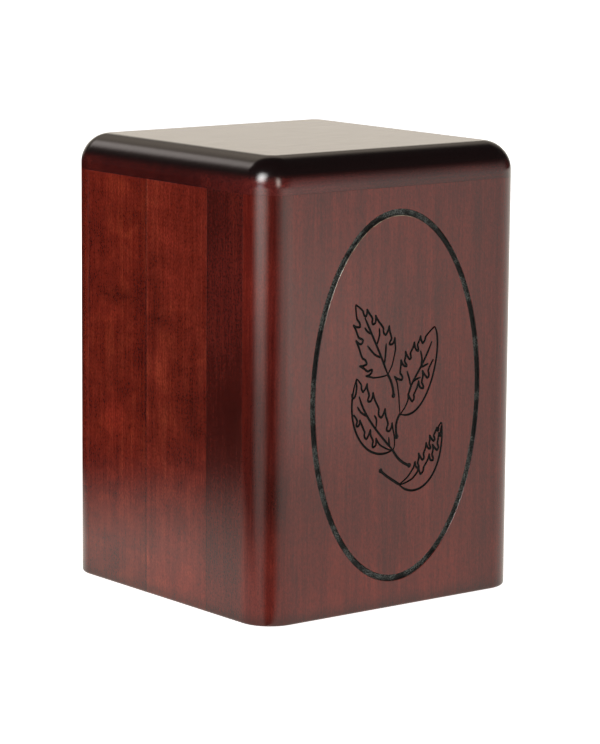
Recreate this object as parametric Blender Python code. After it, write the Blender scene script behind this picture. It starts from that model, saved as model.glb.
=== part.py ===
"""Wooden cremation urn box.

Four glued walls stand under a thick top slab with a rounded upper edge. The front wall has an oval
groove round four drifting leaves, and the box is filled from below, through a screwed base panel.
Metres, +Z up. The origin is the middle of the footprint and the carved front faces -Y.
"""

import math
from collections import namedtuple

import bmesh
import bpy
from mathutils import Vector
from mathutils.geometry import delaunay_2d_cdt

# Overall size
WIDTH = 0.165
DEPTH = 0.166
HEIGHT = 0.229

# Boards
WALL_THICK = 0.018
TOP_THICK = 0.018
FRONT_STRIP_WIDTH = 0.0287  # narrow board of a side wall, next to the front panel
MIDDLE_STRIP_WIDTH = 0.0506  # the back board takes what is left
JOINT_GAP = 0.0003

# Rounded edges
CORNER_RADIUS = 0.0172
TOP_ROUND = 0.015
FOOT_ROUND = 0.0015
CORNER_STEPS = 8
TOP_ROUND_STEPS = 9
FOOT_ROUND_STEPS = 3

# Base panel, let into a rabbet round the foot of the walls
BASE_THICK = 0.012
BASE_RECESS = 0.001
RABBET = 0.009
BASE_CLEARANCE = 0.0003

# Countersunk screws
SCREW_LENGTH = 0.025
SCREW_HEAD_RADIUS = 0.0036
SCREW_HEAD_HEIGHT = 0.0026
SCREW_RIM = 0.0004
SCREW_SHANK_RADIUS = 0.00175
SCREW_TIP_LENGTH = 0.004
SCREW_TIP_RADIUS = 0.0003
SCREW_SPREAD = 0.052  # from the middle of the base, sideways
SCREW_CLEARANCE = 0.0003
SCREW_SIDES = 20
SLOT_LENGTH = 0.0042
SLOT_WIDTH = 0.0009
SLOT_DEPTH = 0.0015

# Oval groove, a flat-bottomed channel with sloping walls
OVAL_HEIGHT = 0.1068  # its centre, above the foot
OVAL_HALF_WIDTH = 0.0546
OVAL_HALF_HEIGHT = 0.0935
GROOVE_WIDTH = 0.0032
GROOVE_FLOOR = 0.0022
GROOVE_DEPTH = 0.0015
OVAL_STEPS = 88

# Leaf lines
LINE_DEPTH = 0.0008
EDGE_LINE = 0.00078
RIB_LINE = 0.00085
VEIN_LINE = 0.00075
STEM_LINE = 0.0011
STEM_END_RADIUS = 0.0010
STEM_END_SIDES = 10
MITRE_LIMIT = 1.5
CURVE_STEP = 0.085  # length of one step of a smooth line, as a share of its leaf's length
LOBE_SWELL = 0.036  # height of a leaf's lobes, as a share of its length
PROUD = 0.001  # how far a cutter stands out of the wood

# One lobe of a leaf's edge: place along the lobe, and height in units of the swell
LOBE = (
    (0.00, -0.75),
    (0.10, -1.00),
    (0.24, -0.60),
    (0.46, 0.25),
    (0.80, 0.55),
    (0.98, 1.15),
    (0.96, 0.25),
    (1.13, 0.30),
)
LOBED_PART = (0.03, 0.98)  # the lobes begin and end this far along an edge
LOBE_GROWTH = 5.0  # how fast they grow from each end of it, up to full size

# A stroke is a cubic curve in shares of its leaf's length: along the leaf, and to its right
Stroke = namedtuple("Stroke", "start bend_1 bend_2 end width lobes side")
Leaf = namedtuple("Leaf", "base length lean strokes")


def edge(start, bend_1, bend_2, end, lobes=0, side=0):
    return Stroke(start, bend_1, bend_2, end, EDGE_LINE, lobes, side)


def rib(start, bend_1, bend_2, end):
    return Stroke(start, bend_1, bend_2, end, RIB_LINE, 0, 0)


def vein(start, bend, end):
    return Stroke(start, bend, bend, end, VEIN_LINE, 0, 0)


def stem(bend_1, bend_2, end):
    return Stroke((0, 0), bend_1, bend_2, end, STEM_LINE, 0, 0)


# Places are from the middle of the oval, and a lean is in degrees from upright, to the right
LEAVES = {
    "flat_leaf": Leaf(
        (-0.0059, 0.0115),
        0.0421,
        -29.7,
        (
            edge((0, 0), (0.03, -0.36), (0.68, -0.22), (1, 0), 5, -1),
            edge((0, 0), (0.20, 0.43), (0.70, 0.22), (1, 0), 5, 1),
            rib((0, 0), (0.3, 0.03), (0.55, 0.03), (0.79, 0.04)),
            vein((0.23, 0.02), (0.31, -0.05), (0.48, -0.09)),
            vein((0.56, 0.03), (0.62, -0.01), (0.69, -0.02)),
            vein((0.14, 0.02), (0.23, 0.09), (0.34, 0.16)),
            vein((0.40, 0.03), (0.48, 0.13), (0.56, 0.16)),
            stem((-0.10, 0.01), (-0.20, -0.01), (-0.27, -0.05)),
        ),
    ),
    "turned_leaf": Leaf(
        (0.0023, -0.0091),
        0.0473,
        27.3,
        (
            edge((0, 0), (0.50, -0.35), (0.52, -0.19), (1, 0), 6, -1),
            edge((0, 0), (0.04, 0.41), (0.90, 0.21), (1, 0)),
            edge((0.01, 0.01), (0.20, 0.05), (0.36, 0.15), (0.68, 0.15), 4, -1),
            rib((0.19, 0.02), (0.38, -0.04), (0.50, 0.06), (0.85, 0.04)),
            vein((0.32, -0.01), (0.38, -0.06), (0.44, -0.13)),
            vein((0.54, 0.03), (0.63, 0.01), (0.70, -0.06)),
            vein((0.36, 0.00), (0.41, 0.03), (0.45, 0.08)),
            vein((0.54, 0.03), (0.58, 0.07), (0.62, 0.11)),
            stem((-0.08, -0.02), (-0.14, 0.00), (-0.23, 0.07)),
        ),
    ),
    "curled_leaf": Leaf(
        (-0.0022, -0.0267),
        0.0447,
        -31.8,
        (
            edge((0, 0), (0.02, 0.20), (0.82, 0.03), (1, 0), 5, 1),
            edge((0, 0), (0.07, -0.39), (0.66, -0.46), (1, 0)),
            edge((0.01, -0.01), (0.12, -0.16), (0.40, -0.24), (0.68, -0.24), 4, 1),
            edge((0.90, -0.14), (0.80, -0.19), (0.82, -0.08), (0.99, -0.01)),
            rib((0, 0), (0.30, -0.07), (0.58, -0.13), (0.81, -0.07)),
            vein((0.55, -0.10), (0.65, -0.15), (0.73, -0.15)),
            vein((0.36, -0.06), (0.44, 0.00), (0.50, -0.01)),
            vein((0.06, -0.01), (0.10, 0.00), (0.16, 0.03)),
            stem((-0.10, 0.00), (-0.20, 0.02), (-0.30, 0.10)),
        ),
    ),
    "rolled_leaf": Leaf(
        (0.0021, -0.0446),
        0.0396,
        44.3,
        (
            edge((0, 0), (0.00, 0.38), (0.51, 0.56), (1, 0)),
            edge((0, 0), (0.20, 0.04), (0.60, 0.04), (0.99, -0.01), 6, -1),
            edge((0, 0.01), (0.20, 0.20), (0.70, 0.26), (0.97, 0.02), 5, -1),
            stem((-0.02, -0.12), (-0.06, -0.24), (-0.06, -0.36)),
        ),
    ),
}

FRONT = -1
BACK = 1
LEFT = -1
RIGHT = 1

wall_height = HEIGHT - TOP_THICK - JOINT_GAP
seat_top = BASE_RECESS + BASE_THICK
inner_depth = DEPTH - 2 * WALL_THICK


def clear_scene():
    for item in list(bpy.data.objects):
        bpy.data.objects.remove(item, do_unlink=True)


def material(name, colour, roughness, metallic=0.0):
    made = bpy.data.materials.new(name)
    made.use_nodes = True
    shader = made.node_tree.nodes["Principled BSDF"]
    shader.inputs["Base Color"].default_value = (*colour, 1.0)
    shader.inputs["Roughness"].default_value = roughness
    shader.inputs["Metallic"].default_value = metallic
    made.diffuse_color = (*colour, 1.0)
    return made


def add_object(name, shape, finish=None):
    """A bmesh made into a scene object, with its faces turned outwards."""
    bmesh.ops.recalc_face_normals(shape, faces=shape.faces)
    mesh = bpy.data.meshes.new(name)
    shape.to_mesh(mesh)
    shape.free()
    made = bpy.data.objects.new(name, mesh)
    bpy.context.collection.objects.link(made)
    if finish:
        mesh.materials.append(finish)
    return made


def smooth_round_edges(made, angle=math.radians(25)):
    made.data.shade_smooth()
    made.data.set_sharp_from_angle(angle=angle)


def as_cutter(made):
    made.hide_render = True
    made.display_type = "WIRE"
    return made


def cut(made, cutter):
    boolean = made.modifiers.new(cutter.name, "BOOLEAN")
    boolean.operation = "DIFFERENCE"
    boolean.solver = "EXACT"
    boolean.object = cutter


def loft(rings):
    """A closed body through rings of equally many points, with flat ends."""
    shape = bmesh.new()
    rows = [[shape.verts.new(point) for point in ring] for ring in rings]
    count = len(rows[0])
    for low, high in zip(rows, rows[1:]):
        for i in range(count):
            j = (i + 1) % count
            shape.faces.new((low[i], low[j], high[j], high[i]))
    shape.faces.new(rows[0])
    shape.faces.new(rows[-1])
    return shape


def block(low, high):
    """A box between two corners."""
    return loft(
        [
            (low[0], low[1], z),
            (high[0], low[1], z),
            (high[0], high[1], z),
            (low[0], high[1], z),
        ]
        for z in (low[2], high[2])
    )


def turned(profile, sides):
    """A round body about Z through (radius, height) pairs."""
    angles = [math.tau * i / sides for i in range(sides)]
    return loft(
        [(radius * math.cos(a), radius * math.sin(a), z) for a in angles] for radius, z in profile
    )


def arc(centre, radius, start, end, steps):
    """Points on an arc, from one angle in degrees to another."""
    points = []
    for i in range(steps + 1):
        angle = math.radians(start + (end - start) * i / steps)
        points.append((centre[0] + radius * math.cos(angle), centre[1] + radius * math.sin(angle)))
    return points


def foot_levels():
    """Inset and height up a wall's outer face, from its eased foot to its top."""
    for i in range(FOOT_ROUND_STEPS + 1):
        angle = math.radians(90) * i / FOOT_ROUND_STEPS
        yield FOOT_ROUND * (1 - math.sin(angle)), FOOT_ROUND * (1 - math.cos(angle))
    yield 0.0, wall_height


def slab_outline(inset):
    """The box's rounded outline seen from above, moved inwards."""
    across = WIDTH / 2 - CORNER_RADIUS
    along = DEPTH / 2 - CORNER_RADIUS
    radius = CORNER_RADIUS - inset
    points = []
    for x, y, start in (
        (across, along, 0),
        (-across, along, 90),
        (-across, -along, 180),
        (across, -along, 270),
    ):
        points += arc((x, y), radius, start, start + 90, CORNER_STEPS)
    return points


def panel_outline(inset, facing):
    """A full-width panel seen from above: two rounded outer corners and a straight inner face."""
    across = WIDTH / 2 - CORNER_RADIUS
    centre_y = facing * (DEPTH / 2 - CORNER_RADIUS)
    inner_y = facing * inner_depth / 2
    radius = CORNER_RADIUS - inset
    right = arc((across, centre_y), radius, 0, facing * 90, CORNER_STEPS)
    left = arc((-across, centre_y), radius, facing * 90, facing * 180, CORNER_STEPS)
    return [(WIDTH / 2 - inset, inner_y)] + right + left + [(-WIDTH / 2 + inset, inner_y)]


def make_top_panel(wood):
    rings = [[(x, y, HEIGHT - TOP_THICK) for x, y in slab_outline(0)]]
    for i in range(TOP_ROUND_STEPS + 1):
        angle = math.radians(90) * i / TOP_ROUND_STEPS
        inset = TOP_ROUND * (1 - math.cos(angle))
        z = HEIGHT - TOP_ROUND * (1 - math.sin(angle))
        rings.append([(x, y, z) for x, y in slab_outline(inset)])
    top = add_object("top_panel", loft(rings), wood)
    smooth_round_edges(top)


def make_full_panel(name, facing, wood):
    """The front or the back wall, which covers the ends of the side boards."""
    rings = [[(x, y, z) for x, y in panel_outline(inset, facing)] for inset, z in foot_levels()]
    panel = add_object(name, loft(rings), wood)
    smooth_round_edges(panel)
    return panel


def make_side_board(name, side, start_y, end_y, wood):
    """One upright board of a side wall, with its outer foot eased."""
    inner_x = side * (WIDTH / 2 - WALL_THICK)
    outline = [(side * (WIDTH / 2 - inset), z) for inset, z in foot_levels()]
    outline += [(inner_x, wall_height), (inner_x, 0.0)]
    board = add_object(name, loft([(x, y, z) for x, z in outline] for y in (start_y, end_y)), wood)
    smooth_round_edges(board)
    return board


def make_side_wall(name, side, wood):
    front_y = -inner_depth / 2 + JOINT_GAP
    first_joint = -inner_depth / 2 + FRONT_STRIP_WIDTH
    second_joint = first_joint + MIDDLE_STRIP_WIDTH
    back_y = inner_depth / 2 - JOINT_GAP
    half_gap = JOINT_GAP / 2
    spans = {
        "front": (front_y, first_joint - half_gap),
        "middle": (first_joint + half_gap, second_joint - half_gap),
        "back": (second_joint + half_gap, back_y),
    }
    return [make_side_board(f"{name}_{place}", side, *span, wood) for place, span in spans.items()]


def make_base_seat_cutter():
    across = WIDTH / 2 - WALL_THICK + RABBET
    along = DEPTH / 2 - WALL_THICK + RABBET
    low = (-across, -along, -PROUD)
    high = (across, along, seat_top + BASE_CLEARANCE)
    return as_cutter(add_object("base_seat_cutter", block(low, high)))


def make_base_panel(wood):
    across = WIDTH / 2 - WALL_THICK + RABBET - BASE_CLEARANCE
    along = DEPTH / 2 - WALL_THICK + RABBET - BASE_CLEARANCE
    return add_object("base_panel", block((-across, -along, BASE_RECESS), (across, along, seat_top)), wood)


def screw_profile(clearance):
    """Radius and height up a countersunk screw, from its head's flat face to its tip."""
    shank = SCREW_SHANK_RADIUS + clearance
    head = SCREW_HEAD_RADIUS + clearance
    return (
        (head, -clearance),
        (head, SCREW_RIM),
        (shank, SCREW_HEAD_HEIGHT),
        (shank, SCREW_LENGTH - SCREW_TIP_LENGTH),
        (SCREW_TIP_RADIUS + clearance, SCREW_LENGTH + clearance),
    )


def screw_places():
    """The middle of the rabbet's ledge, in the front and the back wall."""
    ledge_y = inner_depth / 2 + RABBET / 2
    for y in (-ledge_y, ledge_y):
        for x in (-SCREW_SPREAD, SCREW_SPREAD):
            yield Vector((x, y, BASE_RECESS + SCREW_CLEARANCE))


def make_slot_cutter(number, across, along, place):
    low = (-across / 2, -along / 2, -PROUD)
    high = (across / 2, along / 2, SLOT_DEPTH)
    slot = as_cutter(add_object(f"screw_{number}_slot_cutter", block(low, high)))
    slot.location = place
    return slot


def make_screw(number, place, steel):
    screw = add_object(f"base_screw_{number}", turned(screw_profile(0.0), SCREW_SIDES), steel)
    screw.location = place
    smooth_round_edges(screw)
    cut(screw, make_slot_cutter(f"{number}a", SLOT_LENGTH, SLOT_WIDTH, place))
    cut(screw, make_slot_cutter(f"{number}b", SLOT_WIDTH, SLOT_LENGTH, place))


def make_screw_hole_cutter(number, place):
    profile = list(screw_profile(SCREW_CLEARANCE))
    profile[0] = (profile[0][0], -PROUD - BASE_RECESS)
    hole = as_cutter(add_object(f"screw_{number}_hole_cutter", turned(profile, SCREW_SIDES)))
    hole.location = place
    return hole


def on_curve(stroke, share):
    """Point and direction of a stroke's curve at a share of its way."""
    points = [Vector(point) for point in stroke[:4]]
    rest = 1 - share
    weights = (rest**3, 3 * rest**2 * share, 3 * rest * share**2, share**3)
    place = sum((w * p for w, p in zip(weights, points)), Vector((0, 0)))
    slopes = (rest**2, 2 * rest * share, share**2)
    legs = [points[i + 1] - points[i] for i in range(3)]
    heading = sum((s * leg for s, leg in zip(slopes, legs)), Vector((0, 0)))
    return place, heading.normalized()


def stroke_points(stroke):
    """A stroke's points in shares of its leaf, with lobes and their teeth where it has them."""
    if not stroke.lobes:
        corners = [Vector(point) for point in stroke[:4]]
        reach = sum((b - a).length for a, b in zip(corners, corners[1:]))
        steps = max(3, round(reach / CURVE_STEP))
        return [on_curve(stroke, i / steps)[0] for i in range(steps + 1)]
    first, last = LOBED_PART
    points = [Vector(stroke.start)]
    for lobe in range(stroke.lobes):
        for along, height in LOBE:
            share = first + (last - first) * (lobe + along) / stroke.lobes
            if share >= 1:
                continue
            place, heading = on_curve(stroke, share)
            outwards = Vector((heading.y, -heading.x))
            if outwards.y * stroke.side < 0:
                outwards.negate()
            taper = min(1, LOBE_GROWTH * min(share, 1 - share))
            points.append(place + outwards * height * LOBE_SWELL * taper)
    points.append(Vector(stroke.end))
    return points


def on_front(leaf, point):
    """A leaf's share coordinates turned into x and z on the front of the box."""
    lean = math.radians(leaf.lean)
    up = Vector((math.sin(lean), math.cos(lean)))
    right = Vector((math.cos(lean), -math.sin(lean)))
    centre = Vector((leaf.base[0], leaf.base[1] + OVAL_HEIGHT))
    return centre + (up * point[0] + right * point[1]) * leaf.length


def spaced(points, least):
    """The points without those that crowd the one before, with the last one kept."""
    kept = [points[0]]
    for point in points[1:-1]:
        if min((point - kept[-1]).length, (point - points[-1]).length) > least:
            kept.append(point)
    return kept + [points[-1]]


def line_quads(points, width):
    """A line of even width as one quad for each step, mitred where steps meet."""
    points = spaced(points, width)
    headings = [(b - a).normalized() for a, b in zip(points, points[1:])]
    sides = []
    for i in range(len(points)):
        before = headings[max(i - 1, 0)]
        after = headings[min(i, len(headings) - 1)]
        across = Vector((-before.y - after.y, before.x + after.x)).normalized()
        square = Vector((-after.y, after.x))
        reach = min(1 / max(across.dot(square), 1 / MITRE_LIMIT), MITRE_LIMIT)
        sides.append(across * reach * width / 2)
    for i in range(len(headings)):
        a, b = points[i], points[i + 1]
        yield [a + sides[i], a - sides[i], b - sides[i + 1], b + sides[i + 1]]


def leaf_shapes(leaf):
    """Flat polygons that cover every line of a leaf."""
    for stroke in leaf.strokes:
        points = [on_front(leaf, point) for point in stroke_points(stroke)]
        yield from line_quads(points, stroke.width)
        if stroke.width == STEM_LINE:
            x, z = points[-1]
            yield [Vector(p) for p in arc((x, z), STEM_END_RADIUS, 0, 360, STEM_END_SIDES)[:-1]]


def make_line_cutter(name, polygons):
    """One cutter from many flat polygons, joined where they overlap."""
    points = []
    outlines = []
    for polygon in polygons:
        outlines.append(list(range(len(points), len(points) + len(polygon))))
        points += polygon
    merged = delaunay_2d_cdt(points, [], outlines, 0, 1e-6, True)
    flat_points, triangles, owners = merged[0], merged[2], merged[5]
    shape = bmesh.new()
    front_y = -DEPTH / 2 - PROUD
    verts = [shape.verts.new((x, front_y, z)) for x, z in flat_points]
    for triangle, owner in zip(triangles, owners):
        if owner:
            shape.faces.new([verts[i] for i in triangle])
    loose = [vert for vert in shape.verts if not vert.link_faces]
    bmesh.ops.delete(shape, geom=loose, context="VERTS")
    grown = bmesh.ops.extrude_face_region(shape, geom=shape.faces[:])
    moved = [item for item in grown["geom"] if isinstance(item, bmesh.types.BMVert)]
    bmesh.ops.translate(shape, verts=moved, vec=(0, PROUD + LINE_DEPTH, 0))
    return as_cutter(add_object(name, shape))


def make_oval_cutter():
    """A ring with sloping sides, wider at the wood's face than at its floor."""
    slope = (GROOVE_WIDTH - GROOVE_FLOOR) / 2 / GROOVE_DEPTH
    section = (
        (slope * PROUD, -PROUD),
        (slope * -GROOVE_DEPTH, GROOVE_DEPTH),
        (slope * GROOVE_DEPTH - GROOVE_WIDTH, GROOVE_DEPTH),
        (slope * -PROUD - GROOVE_WIDTH, -PROUD),
    )
    shape = bmesh.new()
    rows = []
    for i in range(OVAL_STEPS):
        angle = math.tau * i / OVAL_STEPS
        row = []
        for out, depth in section:
            x = (OVAL_HALF_WIDTH + out) * math.cos(angle)
            z = OVAL_HEIGHT + (OVAL_HALF_HEIGHT + out) * math.sin(angle)
            row.append(shape.verts.new((x, -DEPTH / 2 + depth, z)))
        rows.append(row)
    for i in range(OVAL_STEPS):
        here, there = rows[i], rows[(i + 1) % OVAL_STEPS]
        for j in range(len(section)):
            k = (j + 1) % len(section)
            shape.faces.new((here[j], here[k], there[k], there[j]))
    return as_cutter(add_object("oval_cutter", shape))


def carve_front(panel):
    cut(panel, make_oval_cutter())
    for name, leaf in LEAVES.items():
        cut(panel, make_line_cutter(f"{name}_cutter", leaf_shapes(leaf)))


def make_urn():
    wood = material("stained_wood", (0.13, 0.028, 0.016), 0.3)
    top_wood = material("stained_top_wood", (0.15, 0.035, 0.02), 0.3)
    plain_wood = material("plain_base_wood", (0.20, 0.075, 0.04), 0.5)
    steel = material("zinc_steel", (0.55, 0.55, 0.52), 0.35, 1.0)

    make_top_panel(top_wood)
    front = make_full_panel("front_panel", FRONT, wood)
    back = make_full_panel("back_panel", BACK, wood)
    sides = make_side_wall("left_board", LEFT, wood) + make_side_wall("right_board", RIGHT, wood)
    base = make_base_panel(plain_wood)

    seat = make_base_seat_cutter()
    for wall in [front, back, *sides]:
        cut(wall, seat)
    for number, place in enumerate(screw_places(), 1):
        hole = make_screw_hole_cutter(number, place)
        cut(base, hole)
        cut(front if place.y < 0 else back, hole)
        make_screw(number, place, steel)
    carve_front(front)


clear_scene()
make_urn()
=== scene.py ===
"""Looks of the wooden cremation urn box.

Every CAD node is replaced by a finer piece of the same size and place, with a procedural finish:
stained and lacquered boards, a blackened oval groove with four leaves, a plain base panel and zinc
screws.
"""

import math
from collections import namedtuple

import bmesh
import bpy
import numpy as np
from mathutils import Matrix, Vector
from mathutils.geometry import delaunay_2d_cdt


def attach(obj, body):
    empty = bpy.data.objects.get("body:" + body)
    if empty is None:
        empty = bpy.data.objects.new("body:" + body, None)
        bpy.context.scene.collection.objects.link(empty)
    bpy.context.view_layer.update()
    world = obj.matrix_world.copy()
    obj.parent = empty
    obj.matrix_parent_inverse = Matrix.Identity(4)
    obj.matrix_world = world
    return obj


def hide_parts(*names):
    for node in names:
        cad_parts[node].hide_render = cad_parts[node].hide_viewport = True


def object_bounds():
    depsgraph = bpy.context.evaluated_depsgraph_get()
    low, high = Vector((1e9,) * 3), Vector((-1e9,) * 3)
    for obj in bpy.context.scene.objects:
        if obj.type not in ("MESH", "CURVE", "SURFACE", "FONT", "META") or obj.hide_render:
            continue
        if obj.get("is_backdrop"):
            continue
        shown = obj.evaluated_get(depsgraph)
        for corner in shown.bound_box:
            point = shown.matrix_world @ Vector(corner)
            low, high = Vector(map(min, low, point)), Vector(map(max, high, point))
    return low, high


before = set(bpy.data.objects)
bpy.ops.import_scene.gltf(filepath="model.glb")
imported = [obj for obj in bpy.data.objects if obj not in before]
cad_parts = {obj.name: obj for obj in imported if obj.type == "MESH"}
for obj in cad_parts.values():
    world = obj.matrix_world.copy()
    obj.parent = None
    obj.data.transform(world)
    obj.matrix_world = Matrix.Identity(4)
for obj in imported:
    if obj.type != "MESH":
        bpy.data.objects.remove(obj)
cad_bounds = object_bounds()

# Sizes of the solids, in metres
PROUD = 0.001  # cutters start this far outside
WIDTH = 0.165
DEPTH = 0.166
HEIGHT = 0.229
WALL_THICK = 0.018
TOP_THICK = 0.018
FRONT_STRIP_WIDTH = 0.0287
MIDDLE_STRIP_WIDTH = 0.0506
CORNER_RADIUS = 0.0172
TOP_ROUND = 0.015
FOOT_ROUND = 0.0015
BASE_THICK = 0.012
BASE_RECESS = 0.001
RABBET = 0.009
BASE_CLEARANCE = 0.0003
SCREW_LENGTH = 0.025
SCREW_HEAD_RADIUS = 0.0036
SCREW_HEAD_HEIGHT = 0.0026
SCREW_RIM = 0.0004
SCREW_SHANK_RADIUS = 0.00175
SCREW_TIP_LENGTH = 0.004
SCREW_TIP_RADIUS = 0.0003
SCREW_SPREAD = 0.052
SCREW_CLEARANCE = 0.0003
SLOT_LENGTH = 0.0042
SLOT_WIDTH = 0.0009
SLOT_DEPTH = 0.0015
SLOT_SIZES = ((1.25, -PROUD), (1.0, 0.0), (0.55, SLOT_DEPTH))  # shares of its size, and depths
OVAL_HEIGHT = 0.1068
OVAL_HALF_WIDTH = 0.0546
OVAL_HALF_HEIGHT = 0.0935
GROOVE_WIDTH = 0.0036
GROOVE_FLOOR = 0.0027
GROOVE_DEPTH = 0.0015
LINE_DEPTH = 0.0008
EDGE_LINE = 0.00124
RIB_LINE = 0.00132
VEIN_LINE = 0.00120
STEM_LINE = 0.00150
STEM_END_RADIUS = 0.0013

# Fineness of the shown pieces
CORNER_STEPS = 28
TOP_ROUND_STEPS = 28
FOOT_ROUND_STEPS = 6
OVAL_STEPS = 260
SCREW_SIDES = 40
EDGE_LOOP = 0.0003  # an extra loop this near to a rounding keeps the flat beside it flat
SEAM_EASE = 0.00002  # chamfer on edges that meet under the top slab
JOINT_EASE = 0.00004  # chamfer on edges of glued side boards
SEAM_GAP = 0.00002
BASE_EASE = 0.0006
EASE_BEND = 0.3  # where an eased edge bends, as a share of its size
SHARP_FROM = math.radians(28)
SAME_PLACE = 1e-6

# Section of the oval groove, as ways in from its edge and depths
LIP = ((-0.00012, 0.0), (0.0, 0.0), (0.00010, 0.00003), (0.00019, 0.00010), (0.00025, 0.00022))
GROOVE_WALL = ((0.85, 0.72), (1.0, 0.95))  # shares of the wall's width and of the groove's depth
GROOVE_FOOT = 0.00035
CHAR_FROM = 0.0004
WOOD_SLOT, GROOVE_SLOT, LINE_SLOT = range(3)

# Leaf lines
LOBE = (
    (0.09, -0.98), (0.20, -0.88), (0.30, -0.42), (0.38, 0.05), (0.60, 0.34),
    (0.86, 0.62), (1.16, 1.34), (1.06, 0.66), (1.00, 0.02), (0.98, -0.60),
)
LOBE_RISE = 4  # the first lobe of an edge starts from this point
LOBE_TIP = 6  # the point of a lobe where its line turns sharply
LOBED_END = 0.985
LOBE_SHRINK = 0.35  # lobes get shorter by this share towards the tip
LOBE_GROWTH = 5.0
LOBE_SWELL = 0.044
LOBE_LENGTHS = (1.0, 0.72, 1.2, 0.85, 1.12, 0.8)
LOBE_DEPTHS = (0.95, 1.15, 0.8, 1.2, 0.9, 1.1)
SMOOTH_STEP = 0.03  # length of one step of a smooth line, as a share of its leaf's length
CURVE_STEPS = 3  # steps between two points of a lobed edge
LINE_LEVELS = (1.0, 0.66, 0.3)  # nested outlines of a line, as shares of its width
LINE_ROUNDING = 2.2  # power of a line's hollow section
LINE_TAPER = 0.12  # a line narrows over this share of its way at each end
TIP_WIDTH = 0.6
DISC_SIDES = 10
NEAREST = 0.00012
FEWEST_STEPS = 4
MITRE_FLOOR = 0.6
MITRE_MOST = 1.5
TURN_BACK = 1e-3  # sides that add up to less than this point back along the line
SHORTEST = 1e-18
SLIVER = 1e-12
CDT_NEAR = 1e-7

Stroke = namedtuple("Stroke", "start bend_1 bend_2 end width lobes side rhythm first")
Leaf = namedtuple("Leaf", "base length lean strokes")


def edge(start, bend_1, bend_2, end, lobes=0, side=0, rhythm=0, first=0.03):
    return Stroke(start, bend_1, bend_2, end, EDGE_LINE, lobes, side, rhythm, first)


def rib(start, bend_1, bend_2, end):
    return Stroke(start, bend_1, bend_2, end, RIB_LINE, 0, 0, 0, 0)


def vein(start, bend, end):
    return Stroke(start, bend, bend, end, VEIN_LINE, 0, 0, 0, 0)


def stem(bend_1, bend_2, end):
    return Stroke((0, 0), bend_1, bend_2, end, STEM_LINE, 0, 0, 0, 0)


# Places are from the middle of the oval, and a lean is in degrees from upright, to the right
LEAVES = (
    Leaf((-0.0059, 0.0115), 0.0421, -29.7, (
        edge((0, 0), (0.10, -0.43), (0.58, -0.16), (1, 0), 5, -1, 0, 0.05),
        edge((0, 0), (0.22, 0.48), (0.60, 0.15), (1, 0), 5, 1, 2, 0.10),
        rib((0, 0), (0.3, 0.03), (0.55, 0.03), (0.79, 0.04)),
        vein((0.23, 0.02), (0.31, -0.05), (0.48, -0.09)),
        vein((0.56, 0.03), (0.62, -0.01), (0.69, -0.02)),
        vein((0.14, 0.02), (0.23, 0.09), (0.34, 0.16)),
        vein((0.40, 0.03), (0.48, 0.13), (0.56, 0.16)),
        stem((-0.10, 0.01), (-0.20, -0.01), (-0.27, -0.05)),
    )),
    Leaf((0.0023, -0.0091), 0.0473, 27.3, (
        edge((0, 0), (0.50, -0.35), (0.52, -0.19), (1, 0), 6, -1, 3, 0.12),
        edge((0, 0), (0.04, 0.41), (0.90, 0.21), (1, 0)),
        edge((0.01, 0.01), (0.20, 0.05), (0.36, 0.15), (0.68, 0.15), 4, -1, 1, 0.14),
        rib((0.19, 0.02), (0.38, -0.04), (0.50, 0.06), (0.85, 0.04)),
        vein((0.32, -0.01), (0.38, -0.06), (0.44, -0.13)),
        vein((0.54, 0.03), (0.63, 0.01), (0.70, -0.06)),
        vein((0.36, 0.00), (0.41, 0.03), (0.45, 0.08)),
        vein((0.54, 0.03), (0.58, 0.07), (0.62, 0.11)),
        stem((-0.08, -0.02), (-0.14, 0.00), (-0.23, 0.07)),
    )),
    Leaf((-0.0022, -0.0267), 0.0447, -31.8, (
        edge((0, 0), (0.02, 0.20), (0.82, 0.03), (1, 0), 5, 1, 4, 0.08),
        edge((0, 0), (0.07, -0.39), (0.66, -0.46), (1, 0)),
        edge((0.01, -0.01), (0.12, -0.16), (0.40, -0.24), (0.68, -0.24), 4, 1, 2, 0.08),
        edge((0.90, -0.14), (0.80, -0.19), (0.82, -0.08), (0.99, -0.01)),
        rib((0, 0), (0.30, -0.07), (0.58, -0.13), (0.81, -0.07)),
        vein((0.55, -0.10), (0.65, -0.15), (0.73, -0.15)),
        vein((0.36, -0.06), (0.44, 0.00), (0.50, -0.01)),
        vein((0.06, -0.01), (0.10, 0.00), (0.16, 0.03)),
        stem((-0.10, 0.00), (-0.20, 0.02), (-0.30, 0.10)),
    )),
    Leaf((0.0021, -0.0446), 0.0396, 44.3, (
        edge((0, 0), (0.00, 0.38), (0.51, 0.56), (1, 0)),
        edge((0, 0), (0.20, 0.10), (0.60, 0.05), (0.99, -0.01), 6, -1, 2, 0.23),
        edge((0, 0.01), (0.20, 0.20), (0.70, 0.26), (0.97, 0.02), 5, -1, 1, 0.24),
        stem((-0.02, -0.12), (-0.06, -0.24), (-0.06, -0.36)),
    )),
)

# Camera, fitted to the corners of the box in the photograph, with angles in degrees
CAMERA_AZIMUTH = -38.2579
CAMERA_ELEVATION = 9.6289
CAMERA_ROLL = 0.4681
CAMERA_PLACE = (-1.03430, -1.31729, 0.39172)
CAMERA_LENS = 160.0
SENSOR = 36.0

FRONT = -1
BACK = 1
LEFT = -1
RIGHT = 1

slab_bottom = HEIGHT - TOP_THICK
wall_top = slab_bottom - SEAM_GAP
seat_top = BASE_RECESS + BASE_THICK
inner_depth = DEPTH - 2 * WALL_THICK
first_joint = -inner_depth / 2 + FRONT_STRIP_WIDTH
second_joint = first_joint + MIDDLE_STRIP_WIDTH


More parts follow.
